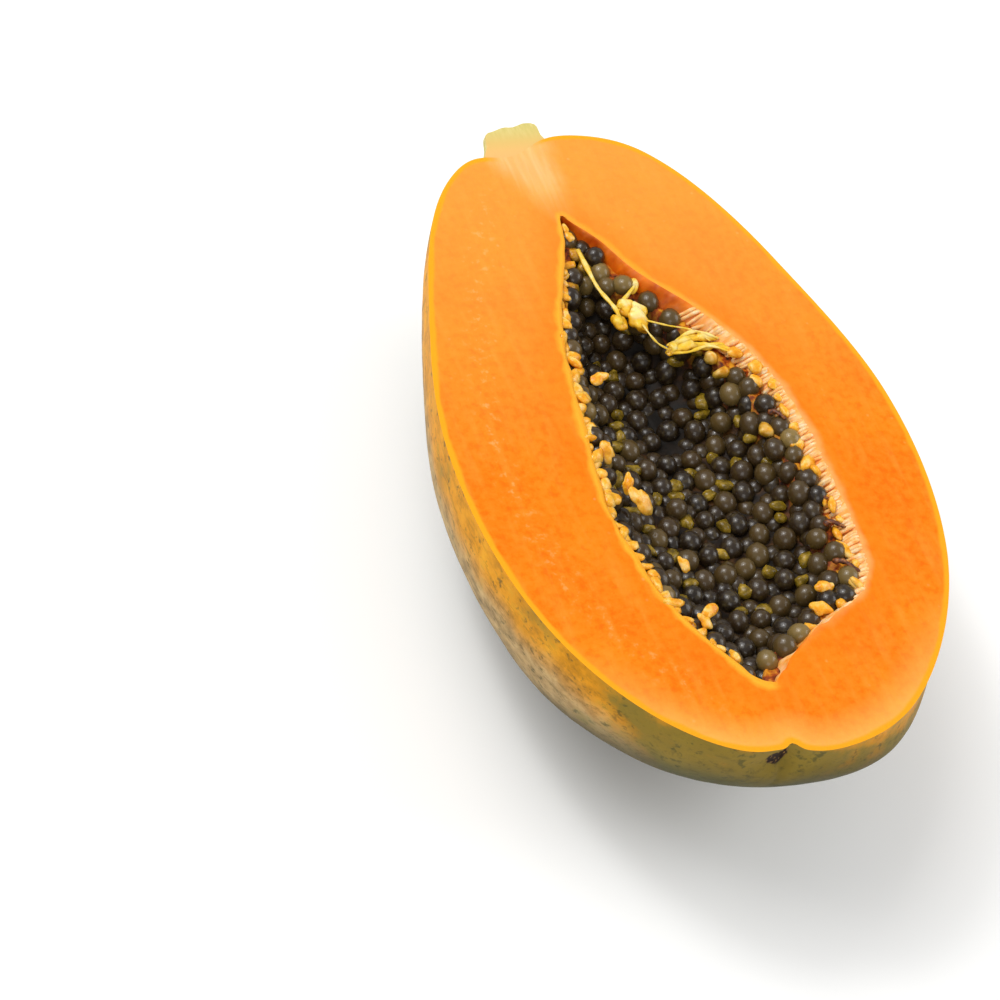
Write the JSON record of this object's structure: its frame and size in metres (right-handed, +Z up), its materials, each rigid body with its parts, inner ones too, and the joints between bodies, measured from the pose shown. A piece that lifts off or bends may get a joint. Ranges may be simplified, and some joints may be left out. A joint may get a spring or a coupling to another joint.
{
  "type": "papaya half",
  "caption": "Ripe papaya cut in half lengthwise, lying on its rounded back with the seeds in their open hollow.",
  "frame": {"origin": "middle of the fruit's outline as seen from above, on the surface that it rests on", "axes": "+Z up, square to the cut face; +Y along the fruit towards the stalk; +X across it"},
  "size_m": [0.1134, 0.1848, 0.0565],
  "materials": {
    "flesh_and_skin": "moist orange flesh, satin yellow and green skin",
    "stalk": "matt pale green stalk",
    "seed": "wet dark seed in a clear coat",
    "pulp": "wet yellow pulp"
  },
  "bodies": {
    "root": {"fruit_half": "flesh_and_skin", "stem_stub": "stalk", "seeds": "seed", "pulp_strands": "pulp"}
  },
  "joints": []
}
